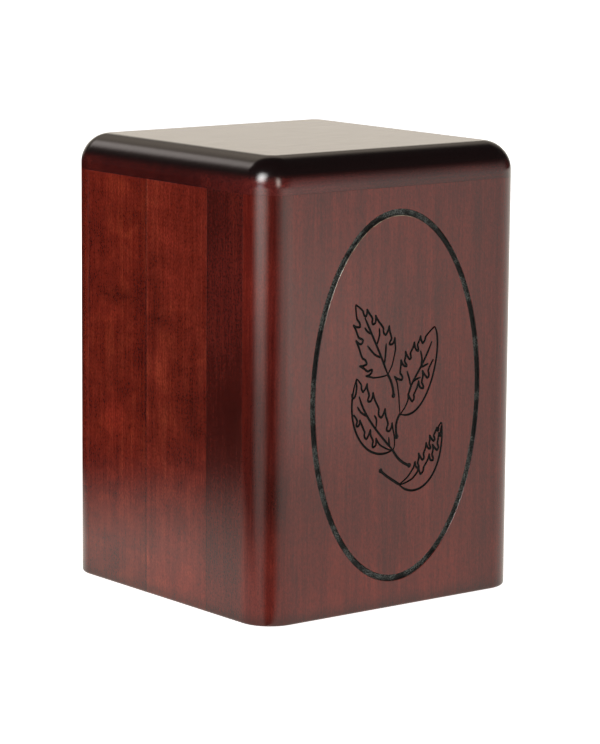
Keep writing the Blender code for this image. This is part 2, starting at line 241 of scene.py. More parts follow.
# Node trees
def feed(socket, value):
    """Links a socket to another one, or sets it."""
    if isinstance(value, bpy.types.NodeSocket):
        socket.id_data.links.new(value, socket)
    else:
        socket.default_value = value


def feed_all(made, **values):
    """Feeds the inputs of these names, in which a low line stands for a space."""
    for name, value in values.items():
        feed(made.inputs[name.replace("_", " ")], value)


def new_node(tree, kind, *values, **settings):
    """A shader node with its settings, and its first inputs fed in order."""
    made = tree.nodes.new("ShaderNode" + kind)
    for name, setting in settings.items():
        setattr(made, name, setting)
    for socket, value in zip(made.inputs, values):
        feed(socket, value)
    return made


def node(kind, *values, **settings):
    """A shader node in the tree of the sockets among its values."""
    sockets = [value for value in values if isinstance(value, bpy.types.NodeSocket)]
    return new_node(sockets[0].id_data, kind, *values, **settings)


def maths(operation, *values):
    """An operation on its values, and then on its result and each next one."""
    result = node("Math", *values[:2], operation=operation).outputs[0]
    for value in values[2:]:
        result = node("Math", result, value, operation=operation).outputs[0]
    return result


def ranged(value, low, high, to_low=0.0, to_high=1.0, smooth=False):
    kind = "SMOOTHSTEP" if smooth else "LINEAR"
    numbers = (value, low, high, to_low, to_high)
    return node("MapRange", *numbers, interpolation_type=kind).outputs[0]


# A Mix node's inputs for its share and two colours, and its output for a colour
MIX_INPUTS = (0, 6, 7)
MIX_OUTPUT = 2


def mixed(share, first, second):
    made = new_node(share.id_data, "Mix", data_type="RGBA", clamp_factor=True)
    for number, value in zip(MIX_INPUTS, (share, first, second)):
        feed(made.inputs[number], value)
    return made.outputs[MIX_OUTPUT]


def colour(red, green, blue):
    return (red, green, blue, 1.0)


def place_in_object(tree):
    return new_node(tree, "TexCoord").outputs["Object"]


def vectors(operation, *values):
    return node("VectorMath", *values, operation=operation).outputs["Vector"]


def length_of(vector):
    return node("VectorMath", vector, operation="LENGTH").outputs["Value"]


def parts_of(vector):
    return node("SeparateXYZ", vector).outputs


def stretched(vector, scale, shift=(0.0, 0.0, 0.0)):
    made = node("Mapping", vector)
    feed_all(made, Scale=scale, Location=shift)
    return made.outputs[0]


NOISE_SPREAD = (0.28, 0.72)


def noise(vector, detail, roughness, distortion=0.0):
    """Soft noise spread to about 0 to 1, with features one unit of the vector wide."""
    made = node("TexNoise", vector)
    feed_all(made, Scale=1.0, Detail=detail, Roughness=roughness, Distortion=distortion)
    return ranged(made.outputs[0], *NOISE_SPREAD)


def even_noise(where, scale, detail, roughness):
    """Noise with as many features per metre each way."""
    return noise(stretched(where, (scale,) * 3), detail, roughness)


def bump(height, distance, normal=None):
    made = new_node(height.id_data, "Bump")
    feed_all(made, Strength=1.0, Distance=distance, Height=height)
    if normal:
        feed_all(made, Normal=normal)
    return made.outputs[0]


def new_material(name):
    made = bpy.data.materials.new(name)
    made.use_nodes = True
    return made, made.node_tree, made.node_tree.nodes["Principled BSDF"]


# Finishes. A noise is given by its features per metre, its detail and its roughness.
Wood = namedtuple("Wood", "dark middle light grain seed blotch bands streaks curl speckle")
Patch = namedtuple("Patch", "place reach change")
Joint = namedtuple("Joint", "y reach change")
Figure = namedtuple("Figure", "name across along detail roughness distortion")
FIGURES = (
    Figure("blotch", 38, 16, 3, 0.55, 0.0),
    Figure("bands", 150, 3, 2, 0.5, 0.0),
    Figure("curl", 45, 85, 2, 0.5, 0.6),
    Figure("streaks", 900, 40, 3, 0.6, 0.0),
)
HALF_TONE = 0.5
SEED_STEPS = (3.7, 5.3, 7.9)
GRAIN_UP = 2  # the axis that the grain follows
GRAIN_ACROSS = 0
SPECKLE_GRAIN = (1500, 800)
SPECKLE_NOISE = (2, 0.65)
GLUE_LINE = 0.0007
GLUE_SHADE = 0.5
# Painted contact shadow: each wall darkens towards its foot, over this height and down to this share
FOOT_SHADOW_REACH = 0.009
FOOT_SHADE = 0.48
# Painted shade on the top slab's rounding, darker where it turns up: its colour, the heights over
# which it comes in, and its share on the flat top
ROUNDING_SHADE_COLOUR = (0.0085, 0.0033, 0.0033)
ROUNDING_SHADE_RISE = (0.2164, 0.2212)
ROUNDING_SHADE_TOP = (0.2287, 0.2290)
ROUNDING_SHADE_FLAT = 0.5
LACQUER_ROUGHNESS = (0.15, 0.20)
STREAK_RELIEF = 0.000004
PEEL_NOISE = (260, 2, 0.5)
PEEL_RELIEF = 0.000012

# Painted highlight on the oval's inner edge, up and to the left, with widths and places as shares of
# the oval
LIP_HIGHLIGHT_COLOUR = (0.26, 0.21, 0.145)
LIP_HIGHLIGHT_WAY = GROOVE_WIDTH - 0.00015
LIP_HIGHLIGHT_WIDTH = 0.0038
LIP_HIGHLIGHT_NOISE = (220, 3, 0.6)
LIP_HIGHLIGHT_GAPS = (0.35, 0.55)
LIP_HIGHLIGHT_LEAST = 0.35
LIP_HIGHLIGHT_HIGH = (0.25, 0.75)
LIP_HIGHLIGHT_LEFT = (0.05, 0.45)

# Fine grit, in the groove only where specks and patches meet
Grit = namedtuple("Grit", "noise dark light roughness relief")
GROOVE = Grit(
    (1300, 3, 0.7), (0.0015, 0.0018, 0.0015), (0.115, 0.125, 0.112), (0.75, 0.35), 0.00022
)
LINES = Grit((1800, 2, 0.6), (0.0015, 0.0015, 0.0015), (0.008, 0.008, 0.0075), None, 0.00008)
STEEL = Grit((1500, 3, 0.6), (0.42, 0.42, 0.40), (0.62, 0.62, 0.58), (0.28, 0.45), 0.00001)
GROOVE_SPECKS = (0.40, 0.66)
GROOVE_NOISE = (95, 3, 0.6)
GROOVE_PATCHES = (0.38, 0.62, 0.12, 1.0)
PLAIN_ROUGHNESS = (0.42, 0.6)
PLAIN_RELIEF = 0.00002


def along_grain(grain, across, along):
    """A scale of so many features per metre across the grain and along it."""
    return tuple(along if axis == grain else across for axis in range(3))


def wood_tone(where, wood):
    """A share from dark to light wood, from its figure at every size, and its streaks alone."""
    shift = tuple(wood.seed * step for step in SEED_STEPS)
    tone = HALF_TONE
    for figure in FIGURES:
        scale = along_grain(wood.grain, figure.across, figure.along)
        share = noise(stretched(where, scale, shift), *figure[3:])
        part = maths("SUBTRACT", share, HALF_TONE)
        part = maths("MULTIPLY", part, getattr(wood, figure.name))
        tone = maths("ADD", tone, part)
    return tone, share


def wood_colour(tone, wood):
    ramp = node("ValToRGB", tone)
    stops = ramp.color_ramp.elements
    stops[0].color = colour(*wood.dark)
    stops[1].color = colour(*wood.light)
    stops.new(HALF_TONE).color = colour(*wood.middle)
    return ramp.outputs[0]


def soft_spot(where, patch):
    """The patch's change in its middle, falling to nothing at its reach."""
    shifted = vectors("SUBTRACT", where, patch.place)
    away = length_of(vectors("DIVIDE", shifted, patch.reach))
    return ranged(away, 0.0, 1.0, patch.change, 0.0, smooth=True)


def stain_and_shadow_strength(where, wood, patches, joint):
    """What the wood's colour is multiplied by: speckle, patches, glue line and a painted contact
    shadow at the foot.
    """
    scale = along_grain(wood.grain, *SPECKLE_GRAIN)
    dots = noise(stretched(where, scale), *SPECKLE_NOISE)
    strength = ranged(dots, 0.0, 1.0, 1 - wood.speckle, 1 + wood.speckle)
    patched = 1.0
    for patch in patches:
        patched = maths("ADD", patched, soft_spot(where, patch))
    _, y, z = parts_of(where)
    if joint:
        gap = maths("ABSOLUTE", maths("SUBTRACT", y, joint.y))
        line = ranged(gap, 0.0, GLUE_LINE, GLUE_SHADE, 1.0)
        beside = ranged(gap, 0.0, joint.reach, joint.change, 1.0, smooth=True)
        strength = maths("MULTIPLY", strength, line, beside)
    # Painted contact shadow where the wall meets the floor
    foot = ranged(z, 0.0, FOOT_SHADOW_REACH, FOOT_SHADE, 1.0, smooth=True)
    return maths("MULTIPLY", strength, foot, patched)


def rounding_shade_share(where):
    """How much painted shade lies at each height of the top slab, rising up its rounding and halved
    on the flat top.
    """
    z = parts_of(where)[2]
    share = ranged(z, *ROUNDING_SHADE_RISE, smooth=True)
    flat = ranged(z, *ROUNDING_SHADE_TOP, 1.0, ROUNDING_SHADE_FLAT)
    return maths("MULTIPLY", share, flat)


def lip_highlight_share(where):
    """1 on the inner edge of the oval groove, up and to the left, where a pale highlight is painted.
    """
    shifted = vectors("SUBTRACT", where, (0.0, 0.0, OVAL_HEIGHT))
    shares = (1 / (OVAL_HALF_WIDTH - LIP_HIGHLIGHT_WAY), 0.0, 1 / (OVAL_HALF_HEIGHT - LIP_HIGHLIGHT_WAY))
    scaled = vectors("MULTIPLY", shifted, shares)
    across, _, upwards = parts_of(scaled)
    away = maths("ABSOLUTE", maths("SUBTRACT", length_of(scaled), 1.0))
    return maths(
        "MULTIPLY",
        ranged(away, LIP_HIGHLIGHT_WIDTH / 2, LIP_HIGHLIGHT_WIDTH, 1.0, 0.0),
        ranged(even_noise(where, *LIP_HIGHLIGHT_NOISE), *LIP_HIGHLIGHT_GAPS, LIP_HIGHLIGHT_LEAST, 1.0),
        ranged(upwards, *LIP_HIGHLIGHT_HIGH, smooth=True),
        ranged(across, *LIP_HIGHLIGHT_LEFT, 1.0, 0.0, smooth=True),
    )


def stained_wood(name, wood, patches, joint=None, painted_rounding_shade=False, painted_lip_highlight=False):
    """Lacquered wood, with painted shade on the top's rounding or a painted highlight on the groove's
    inner lip where asked.
    """
    made, tree, shader = new_material(name)
    where = place_in_object(tree)
    tone, streaks = wood_tone(where, wood)
    strength = stain_and_shadow_strength(where, wood, patches, joint)
    base = vectors("MULTIPLY", wood_colour(tone, wood), strength)
    # Painted shade on the top's rounding
    if painted_rounding_shade:
        base = mixed(rounding_shade_share(where), base, colour(*ROUNDING_SHADE_COLOUR))
    # Painted highlight on the groove's inner lip
    if painted_lip_highlight:
        base = mixed(lip_highlight_share(where), base, colour(*LIP_HIGHLIGHT_COLOUR))
    roughness = ranged(streaks, 0.0, 1.0, *LACQUER_ROUGHNESS)
    fine = bump(streaks, STREAK_RELIEF)
    relief = bump(even_noise(where, *PEEL_NOISE), PEEL_RELIEF, fine)
    feed_all(shader, Base_Color=base, Roughness=roughness, Normal=relief)
    return made


def gritty(name, look, patchy=False, **constants):
    """A surface whose colour and relief follow a fine grit."""
    made, tree, shader = new_material(name)
    where = place_in_object(tree)
    grit = share = even_noise(where, *look.noise)
    if patchy:
        patches = ranged(even_noise(where, *GROOVE_NOISE), *GROOVE_PATCHES)
        share = maths("MULTIPLY", ranged(grit, *GROOVE_SPECKS), patches)
    if look.roughness:
        constants["Roughness"] = ranged(share, 0.0, 1.0, *look.roughness)
    base = mixed(share, colour(*look.dark), colour(*look.light))
    feed_all(shader, Base_Color=base, Normal=bump(grit, look.relief), **constants)
    return made


def charred_groove():
    """Burnt wood of the oval groove, grey and shiny in patches."""
    return gritty("charred_groove", GROOVE, True, Specular_IOR_Level=0.3)


def charred_lines():
    """Burnt wood of the leaf lines, nearly black."""
    return gritty("charred_lines", LINES, Roughness=0.7, Specular_IOR_Level=0.2)


def zinc_steel():
    return gritty("zinc_steel", STEEL, Metallic=1.0)


def plain_wood():
    made, tree, shader = new_material("plain_base_wood")
    tone, streaks = wood_tone(place_in_object(tree), BASE_WOOD)
    roughness = ranged(streaks, 0.0, 1.0, *PLAIN_ROUGHNESS)
    base = wood_colour(tone, BASE_WOOD)
    feed_all(shader, Base_Color=base, Roughness=roughness, Normal=bump(streaks, PLAIN_RELIEF))
    return made


# Meshes
def add_object(name, shape, finish=None):
    """A bmesh made into a scene object, with its faces turned outwards."""
    bmesh.ops.recalc_face_normals(shape, faces=shape.faces)
    mesh = bpy.data.meshes.new(name)
    shape.to_mesh(mesh)
    shape.free()
    made = bpy.data.objects.new(name, mesh)
    bpy.context.collection.objects.link(made)
    if finish:
        mesh.materials.append(finish)
    return made


def smooth_round_edges(made):
    made.data.shade_smooth()
    made.data.set_sharp_from_angle(angle=SHARP_FROM)


def loft(rings):
    """A closed body through rings of equally many points, with flat ends."""
    shape = bmesh.new()
    rows = [[shape.verts.new(point) for point in ring] for ring in rings]
    count = len(rows[0])
    for low, high in zip(rows, rows[1:]):
        for i in range(count):
            j = (i + 1) % count
            shape.faces.new((low[i], low[j], high[j], high[i]))
    shape.faces.new(rows[0])
    shape.faces.new(rows[-1])
    return shape


def rectangle(x, y, z):
    """Four corners about the middle, at a height."""
    return [(-x, -y, z), (x, -y, z), (x, y, z), (-x, y, z)]


def turned(profile, sides):
    """A round body about Z through (radius, height) pairs."""
    angles = [math.tau * i / sides for i in range(sides)]
    return loft(
        [(radius * math.cos(a), radius * math.sin(a), z) for a in angles] for radius, z in profile
    )


def cut(made, cutters):
    """The object's mesh with every cutter taken out of it."""
    for cutter in cutters:
        boolean = made.modifiers.new(cutter.name, "BOOLEAN")
        boolean.operation = "DIFFERENCE"
        boolean.solver = "EXACT"
        boolean.object = cutter
    graph = bpy.context.evaluated_depsgraph_get()
    carved = bpy.data.meshes.new_from_object(made.evaluated_get(graph))
    made.modifiers.clear()
    made.data = carved


def discard(objects):
    for item in objects:
        bpy.data.objects.remove(item, do_unlink=True)


def on_circle(centre, radius, angle):
    a = math.radians(angle)
    return (centre[0] + radius * math.cos(a), centre[1] + radius * math.sin(a))


def arc(centre, radius, start, end, steps):
    """Points on an arc, from one angle in degrees to another."""
    return [on_circle(centre, radius, start + (end - start) * i / steps) for i in range(steps + 1)]


def corner_arc(centre, radius, start, end, steps):
    """An arc with one more point a little way along each straight side that it meets."""
    points = arc(centre, radius, start, end, steps)
    turn = math.copysign(1.0, end - start)
    first = on_circle(points[0], EDGE_LOOP, start - 90 * turn)
    last = on_circle(points[-1], EDGE_LOOP, end + 90 * turn)
    return [first] + points + [last]


def slab_outline(inset):
    """The box's rounded outline seen from above, moved inwards."""
    across = WIDTH / 2 - CORNER_RADIUS
    along = DEPTH / 2 - CORNER_RADIUS
    points = []
    for x, y, start in (
        (across, along, 0),
        (-across, along, 90),
        (-across, -along, 180),
        (across, -along, 270),
    ):
        points += corner_arc((x, y), CORNER_RADIUS - inset, start, start + 90, CORNER_STEPS)
    return points


def slab_levels():
    """Inset and height up the top slab's edge, on to its flat top."""
    yield SEAM_EASE, slab_bottom
    yield 0.0, slab_bottom + SEAM_EASE
    yield 0.0, slab_bottom + SEAM_EASE + EDGE_LOOP
    round_start = HEIGHT - TOP_ROUND
    yield 0.0, round_start - EDGE_LOOP
    for i in range(TOP_ROUND_STEPS + 1):
        angle = math.radians(90) * i / TOP_ROUND_STEPS
        yield TOP_ROUND * (1 - math.cos(angle)), round_start + TOP_ROUND * math.sin(angle)
    yield TOP_ROUND + EDGE_LOOP, HEIGHT


def wall_levels():
    """Inset and height up a wall's outer face, from its eased foot to its top."""
    for i in range(FOOT_ROUND_STEPS + 1):
        angle = math.radians(90) * i / FOOT_ROUND_STEPS
        yield FOOT_ROUND * (1 - math.sin(angle)), FOOT_ROUND * (1 - math.cos(angle))
    yield 0.0, FOOT_ROUND + EDGE_LOOP
    yield 0.0, wall_top - SEAM_EASE - EDGE_LOOP
    yield 0.0, wall_top - SEAM_EASE
    yield SEAM_EASE, wall_top


def panel_outline(inset, facing):
    """A full-width panel seen from above: two rounded outer corners and a straight inner face."""
    across = WIDTH / 2 - CORNER_RADIUS
    centre_y = facing * (DEPTH / 2 - CORNER_RADIUS)
    inner_y = facing * inner_depth / 2
    radius = CORNER_RADIUS - inset
    side_x = WIDTH / 2 - inset
    eased_y = inner_y + facing * JOINT_EASE
    right = corner_arc((across, centre_y), radius, 0, facing * 90, CORNER_STEPS)
    left = corner_arc((-across, centre_y), radius, facing * 90, facing * 180, CORNER_STEPS)
    start = [(side_x - JOINT_EASE, inner_y), (side_x, eased_y)]
    end = [(-side_x, eased_y), (JOINT_EASE - side_x, inner_y)]
    return start + right + left + end


def board_outline(inset, side, start_y, end_y):
    """One side board seen from above, with its two outer edges eased."""
    inner_x = side * (WIDTH / 2 - WALL_THICK)
    outer_x = side * (WIDTH / 2 - inset)
    eased_x = outer_x - side * JOINT_EASE
    return [
        (inner_x, start_y),
        (eased_x, start_y),
        (outer_x, start_y + JOINT_EASE),
        (outer_x, start_y + JOINT_EASE + EDGE_LOOP),
        (outer_x, end_y - JOINT_EASE - EDGE_LOOP),
        (outer_x, end_y - JOINT_EASE),
        (eased_x, end_y),
        (inner_x, end_y),
    ]


def rings_of(outline, levels, *facts):
    return [[(x, y, z) for x, y in outline(inset, *facts)] for inset, z in levels]


def make_seat_cutter():
    across = WIDTH / 2 - WALL_THICK + RABBET
    along = DEPTH / 2 - WALL_THICK + RABBET
    heights = (-PROUD, seat_top + BASE_CLEARANCE)
    return add_object("seat_cutter", loft(rectangle(across, along, z) for z in heights))


def screw_profile(clearance):
    """Radius and height up a countersunk screw, from its head's flat face to its tip."""
    shank = SCREW_SHANK_RADIUS + clearance
    head = SCREW_HEAD_RADIUS + clearance
    return [
        (head, -clearance),
        (head, SCREW_RIM),
        (shank, SCREW_HEAD_HEIGHT),
        (shank, SCREW_LENGTH - SCREW_TIP_LENGTH),
        (SCREW_TIP_RADIUS + clearance, SCREW_LENGTH + clearance),
    ]


def screw_places():
    """The middle of the rabbet's ledge, in the front and the back wall."""
    ledge_y = inner_depth / 2 + RABBET / 2
    for y in (-ledge_y, ledge_y):
        for x in (-SCREW_SPREAD, SCREW_SPREAD):
            yield Vector((x, y, BASE_RECESS + SCREW_CLEARANCE))


def make_hole_cutters():
    profile = screw_profile(SCREW_CLEARANCE)
    profile[0] = (profile[0][0], -PROUD - BASE_RECESS)
    holes = []
    for number, place in enumerate(screw_places(), 1):
        hole = add_object(f"hole_cutter_{number}", turned(profile, SCREW_SIDES))
        hole.location = place
        holes.append(hole)
    return holes


def hand_over(piece, node):
    """The piece stands for a CAD node: it joins the root body, and the node is hidden."""
    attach(piece, "root")
    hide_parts(node)


def make_top_panel(finish):
    top = add_object("top_slab", loft(rings_of(slab_outline, slab_levels())), finish)
    smooth_round_edges(top)
    hand_over(top, "top_panel")


def make_side_wall(name, side, finishes, seat):
    half_gap = SEAM_GAP / 2
    spans = {
        "front": (-inner_depth / 2 + SEAM_GAP, first_joint - half_gap),
        "middle": (first_joint + half_gap, second_joint - half_gap),
        "back": (second_joint + half_gap, inner_depth / 2 - SEAM_GAP),
    }
    for place, span in spans.items():
        shape = loft(rings_of(board_outline, wall_levels(), side, *span))
        board = add_object(f"{name}_wall_{place}", shape, finishes[place])
        cut(board, [seat])
        smooth_round_edges(board)
        hand_over(board, f"{name}_board_{place}")


def make_back_wall(finish, cutters):
    back = add_object("back_wall", loft(rings_of(panel_outline, wall_levels(), BACK)), finish)
    cut(back, cutters)
    smooth_round_edges(back)
    hand_over(back, "back_panel")


def make_base(finish, holes):
    across = WIDTH / 2 - WALL_THICK + RABBET - BASE_CLEARANCE
    along = DEPTH / 2 - WALL_THICK + RABBET - BASE_CLEARANCE
    eased = (
        (BASE_EASE, BASE_RECESS),
        (BASE_EASE * EASE_BEND, BASE_RECESS + BASE_EASE * EASE_BEND),
        (0.0, BASE_RECESS + BASE_EASE),
        (0.0, seat_top),
    )
    rings = [rectangle(across - inset, along - inset, z) for inset, z in eased]
    base = add_object("base_board", loft(rings), finish)
    cut(base, holes)
    smooth_round_edges(base)
    hand_over(base, "base_panel")


def make_slot_cutter(across, along, place):
    """One arm of a cross recess, narrower at its floor."""
    rings = [rectangle(across / 2 * share, along / 2 * share, z) for share, z in SLOT_SIZES]
    slot = add_object("slot_cutter", loft(rings))
    slot.location = place
    return slot


def make_screws(finish):
    for number, place in enumerate(screw_places(), 1):
        shape = turned(screw_profile(0.0), SCREW_SIDES)
        shape.transform(Matrix.Translation(place))
        screw = add_object(f"screw_{number}", shape, finish)
        slots = [
            make_slot_cutter(SLOT_LENGTH, SLOT_WIDTH, place),
            make_slot_cutter(SLOT_WIDTH, SLOT_LENGTH, place),
        ]
        bpy.context.view_layer.update()
        cut(screw, slots)
        discard(slots)
        smooth_round_edges(screw)
        hand_over(screw, f"base_screw_{number}")


# Lines of the leaves
def on_curve(stroke, share):
    """Point and direction of a stroke's curve at a share of its way."""
    points = [Vector(point) for point in stroke[:4]]
    rest = 1 - share
    weights = (rest**3, 3 * rest**2 * share, 3 * rest * share**2, share**3)
    place = sum((w * p for w, p in zip(weights, points)), Vector((0, 0)))
    slopes = (rest**2, 2 * rest * share, share**2)
    legs = [points[i + 1] - points[i] for i in range(3)]
    heading = sum((s * leg for s, leg in zip(slopes, legs)), Vector((0, 0)))
    return place, heading.normalized()


def lobe_bounds(stroke):
    """Where each lobe starts and ends along its stroke, with uneven lengths."""
    lengths = []
    for i in range(stroke.lobes):
        length = LOBE_LENGTHS[(i + stroke.rhythm) % len(LOBE_LENGTHS)]
        lengths.append(length * (1 - LOBE_SHRINK * i / stroke.lobes))
    start = stroke.first
    for length in lengths:
        end = start + (LOBED_END - stroke.first) * length / sum(lengths)
        yield start, end
        start = end


def lobed_points(stroke):
    """Points of a lobed edge, and the numbers of those where it turns sharply."""
    plain = max(1, round(stroke.first / SMOOTH_STEP / 2))
    points = [on_curve(stroke, stroke.first * i / plain)[0] for i in range(plain + 1)]
    tips = set()
    for lobe, (start, end) in enumerate(lobe_bounds(stroke)):
        depth = LOBE_SWELL * LOBE_DEPTHS[(lobe + stroke.rhythm) % len(LOBE_DEPTHS)]
        for number, (along, height) in enumerate(LOBE):
            share = start + (end - start) * along
            if share >= 1 or (lobe == 0 and number < LOBE_RISE):
                continue
            place, heading = on_curve(stroke, share)
            outwards = Vector((heading.y, -heading.x))
            if outwards.y * stroke.side < 0:
                outwards.negate()
            taper = min(1, LOBE_GROWTH * min(share, 1 - share))
            if number == LOBE_TIP:
                tips.add(len(points))
            points.append(place + outwards * height * depth * taper)
    points.append(Vector(stroke.end))
    return points, tips


def rounded_line(points, steps, corners=()):
    """A smooth line through the points, which turns sharply at the corners."""
    line = [points[0]]
    for i in range(len(points) - 1):
        a, b = points[i], points[i + 1]
        before = a if i in corners else points[max(i - 1, 0)]
        after = b if i + 1 in corners else points[min(i + 2, len(points) - 1)]
        for j in range(1, steps + 1):
            t = j / steps
            line.append(
                0.5
                * (
                    2 * a
                    + (b - before) * t
                    + (2 * before - 5 * a + 4 * b - after) * t**2
                    + (3 * a - before - 3 * b + after) * t**3
                )
            )
    return line


def stroke_line(stroke):
    """A stroke's line in shares of its leaf."""
    if stroke.lobes:
        points, tips = lobed_points(stroke)
        return rounded_line(points, CURVE_STEPS, tips)
    corners = [Vector(point) for point in stroke[:4]]
    reach = sum((b - a).length for a, b in zip(corners, corners[1:]))
    steps = max(FEWEST_STEPS, round(reach / SMOOTH_STEP))
    return [on_curve(stroke, i / steps)[0] for i in range(steps + 1)]


def on_front(leaf, point):
    """A leaf's share coordinates turned into x and z on the front of the box."""
    lean = math.radians(leaf.lean)
    up = Vector((math.sin(lean), math.cos(lean)))
    right = Vector((math.cos(lean), -math.sin(lean)))
    centre = Vector((leaf.base[0], leaf.base[1] + OVAL_HEIGHT))
    return centre + (up * point[0] + right * point[1]) * leaf.length


def spaced(points, least):
    """The points without those that crowd the one before, with the last one kept."""
    kept = [points[0]]
    for point in points[1:-1]:
        if min((point - kept[-1]).length, (point - points[-1]).length) > least:
            kept.append(point)
    return kept + [points[-1]]


def half_widths(points, stroke):
    """Half the line's width at each point, less towards its free ends."""
    found = []
    for i in range(len(points)):
        share = i / (len(points) - 1)
        near_end = LINE_TAPER if stroke.width == STEM_LINE else min(share, 1 - share)
        taper = TIP_WIDTH + (1 - TIP_WIDTH) * min(1.0, near_end / LINE_TAPER)
        found.append(stroke.width / 2 * taper)
    return found


def turns_about(outline, place):
    """Twice the areas between a place and each side of an outline, with their signs."""
    return [(b - a).cross(place - a) for a, b in zip(outline, outline[1:] + outline[:1])]


def is_convex(outline):
    onwards = outline[2:] + outline[:2]
    turns = [
        (b - a).cross(c - b) for a, b, c in zip(outline, outline[1:] + outline[:1], onwards)
    ]
    return min(turns) > 0 or max(turns) < 0


def holds(outline, place):
    """Whether a convex outline has the place inside."""
    turns = turns_about(outline, place)
    return min(turns) > -SLIVER or max(turns) < SLIVER


def line_shapes(points, widths, level):
    """Flat convex polygons that cover a line at one level of its section."""
    headings = [(b - a).normalized() for a, b in zip(points, points[1:])]
    sides = []
    for i in range(len(points)):
        before = headings[max(i - 1, 0)]
        after = headings[min(i, len(headings) - 1)]
        across = Vector((-before.y - after.y, before.x + after.x))
        if across.length < TURN_BACK:
            across = Vector((-after.y, after.x))
        across.normalize()
        square = Vector((-after.y, after.x))
        reach = min(1 / max(across.dot(square), MITRE_FLOOR), MITRE_MOST)
        sides.append(across * reach * widths[i] * level)
    for i, heading in enumerate(headings):
        a, b = points[i], points[i + 1]
        outline = [a + sides[i], a - sides[i], b - sides[i + 1], b + sides[i + 1]]
        if is_convex(outline):
            yield outline
            continue
        square = Vector((-heading.y, heading.x)) * level
        start, end = square * widths[i], square * widths[i + 1]
        yield [a + start, a - start, b - end, b + end]
        yield disc(a, widths[i] * level)
        yield disc(b, widths[i + 1] * level)


def disc(centre, radius):
    return [Vector(point) for point in arc(centre, radius, 0, 360, DISC_SIDES)[:-1]]


def leaf_lines():
    """Every line of the leaves as its points and half widths."""
    for leaf in LEAVES:
        for stroke in leaf.strokes:
            points = [on_front(leaf, point) for point in stroke_line(stroke)]
            points = spaced(points, NEAREST)
            yield points, half_widths(points, stroke)
            if stroke.width == STEM_LINE:
                yield [points[-1]], [STEM_END_RADIUS]


def line_depths(places, lines):
    """Depth of the leaf lines at each place, from the distance to the nearest line."""
    starts, ends, widths = [], [], []
    for points, halves in lines:
        for i in range(max(1, len(points) - 1)):
            j = min(i + 1, len(points) - 1)
            starts.append(points[i])
            ends.append(points[j])
            widths.append((halves[i], halves[j]))
    starts, ends, widths = np.array(starts), np.array(ends), np.array(widths)
    legs = ends - starts
    lengths = np.maximum((legs**2).sum(1), SHORTEST)
    depths = np.zeros(len(places))
    for k, place in enumerate(np.array(places)):
        away = place - starts
        t = np.clip((away * legs).sum(1) / lengths, 0, 1)
        gap = np.sqrt(((away - t[:, None] * legs) ** 2).sum(1))
        half = widths[:, 0] * (1 - t) + widths[:, 1] * t
        nearest = min(1.0, float((gap / half).min()))
        depths[k] = LINE_DEPTH * (1 - nearest**LINE_ROUNDING)
    return depths


def oval_section():
    """Way in from the groove's outer edge, and depth, across the oval groove."""
    wall = (GROOVE_WIDTH - GROOVE_FLOOR) / 2
    slope = tuple((wall * way, GROOVE_DEPTH * depth) for way, depth in GROOVE_WALL)
    half = LIP + slope + ((wall + GROOVE_FOOT, GROOVE_DEPTH),)
    return half + tuple((GROOVE_WIDTH - way, depth) for way, depth in reversed(half))


def oval_rings():
    for way, depth in oval_section():
        ring = []
        for i in range(OVAL_STEPS):
            angle = math.tau * i / OVAL_STEPS
            x = (OVAL_HALF_WIDTH - way) * math.cos(angle)
            z = OVAL_HEIGHT + (OVAL_HALF_HEIGHT - way) * math.sin(angle)
            ring.append(Vector((x, z)))
        yield ring, depth


def front_opening(shape):
    """Takes the flat of the front face out of a panel, and gives the outline that is left."""
    reach = WIDTH / 2 - CORNER_RADIUS - EDGE_LOOP / 2
    gone = []
    for face in shape.faces:
        middle = face.calc_center_median()
        flat = all(abs(vert.co.y + DEPTH / 2) < SAME_PLACE for vert in face.verts)
        if flat and abs(middle.x) < reach and FOOT_ROUND < middle.z < wall_top - SEAM_EASE:
            gone.append(face)
    bmesh.ops.delete(shape, geom=gone, context="FACES")
    return [edge for edge in shape.edges if len(edge.link_faces) == 1]


def line_polygons(lines):
    """Flat outlines of the leaf lines, nested to give their hollow section its points."""
    for level in LINE_LEVELS:
        for line, halves in lines:
            if len(line) == 1:
                yield disc(line[0], halves[0] * level)
            else:
                yield from line_shapes(line, halves, level)


def oval_polygons():
    """Four-sided pieces of the oval groove, each with its corners' depths and its slot."""
    rings = list(oval_rings())
    for (outer, high), (inner, low) in zip(rings, rings[1:]):
        slot = GROOVE_SLOT if max(high, low) > CHAR_FROM else WOOD_SLOT
        for i in range(OVAL_STEPS):
            j = (i + 1) % OVAL_STEPS
            yield [outer[i], outer[j], inner[j], inner[i]], (high, high, low, low), slot


def sheet_depths(places, origins, known, plain, lines):
    """Depth of each place: the groove's section where known, flat wood, or a leaf line's."""
    depths = [max((known[o] for o in origin if o in known), default=None) for origin in origins]
    for i in plain:
        depths[i] = 0.0
    rest = [i for i, depth in enumerate(depths) if depth is None]
    for i, depth in zip(rest, line_depths([places[i] for i in rest], lines)):
        depths[i] = depth
    return depths


